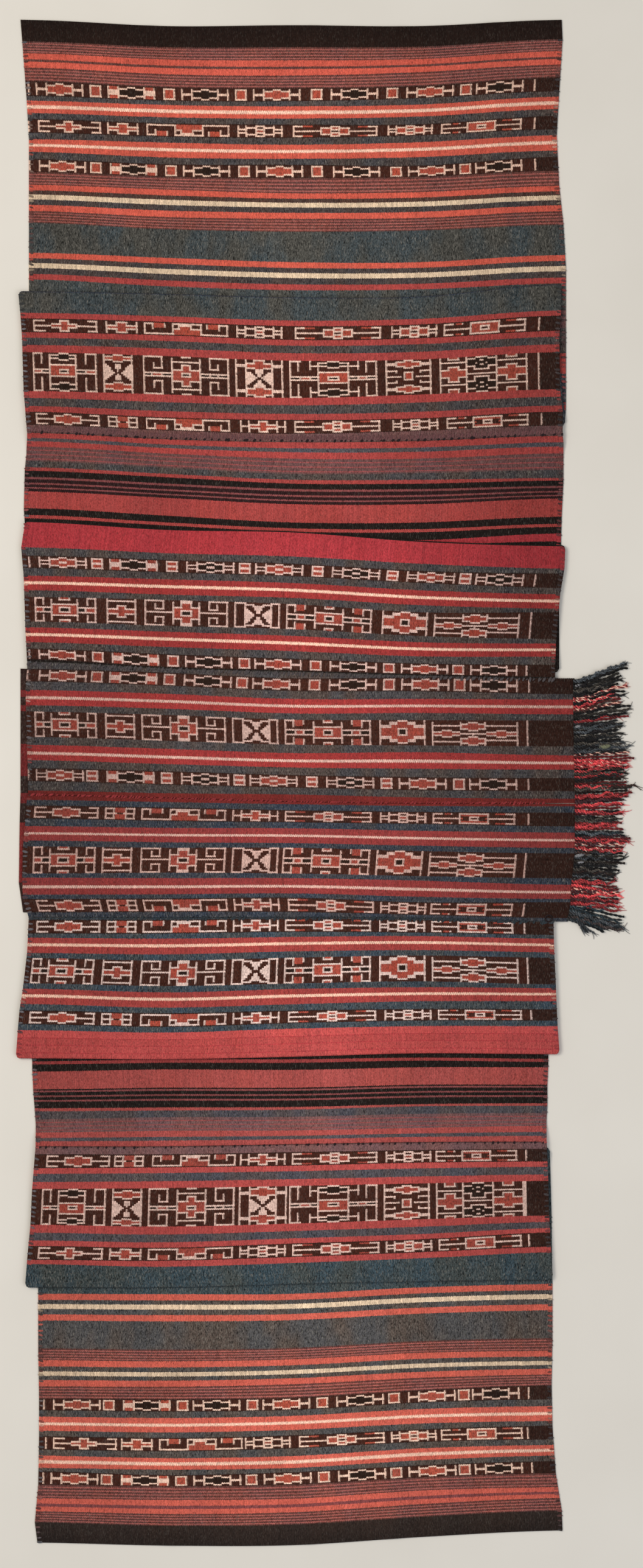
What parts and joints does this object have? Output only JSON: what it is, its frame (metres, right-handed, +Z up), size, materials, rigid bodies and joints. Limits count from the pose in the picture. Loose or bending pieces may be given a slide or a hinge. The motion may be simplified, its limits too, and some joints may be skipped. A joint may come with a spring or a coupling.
{
  "type": "folded ikat cloth",
  "caption": "Long handwoven striped ikat cloth of panels sewn side by side, laid flat in pleats, with a fringe of twisted cords at one side.",
  "frame": {"origin": "middle of the cloth's box, on the surface it lies on", "axes": "+Y along the row of panels towards the upper end of the picture, +X across the panels towards the fringe, +Z up from the surface"},
  "size_m": [0.7376, 1.8068, 0.0055],
  "materials": {
    "red_and_brown_ikat": "matt handwoven cotton",
    "crimson_and_black_ikat": "matt handwoven cotton",
    "blue_grey_ikat": "matt handwoven cotton",
    "brown_under_cloth": "matt handwoven cotton",
    "twisted_cords": "matt handwoven cotton"
  },
  "bodies": {
    "root": {"upper_end_panel": "red_and_brown_ikat", "upper_inner_panel": "crimson_and_black_ikat", "upper_fringed_panel": "blue_grey_ikat", "lower_fringed_panel": "blue_grey_ikat", "lower_inner_panel": "crimson_and_black_ikat", "lower_end_panel": "red_and_brown_ikat", "under_panel": "brown_under_cloth", "upper_fringe": "twisted_cords", "lower_fringe": "twisted_cords"}
  },
  "joints": []
}
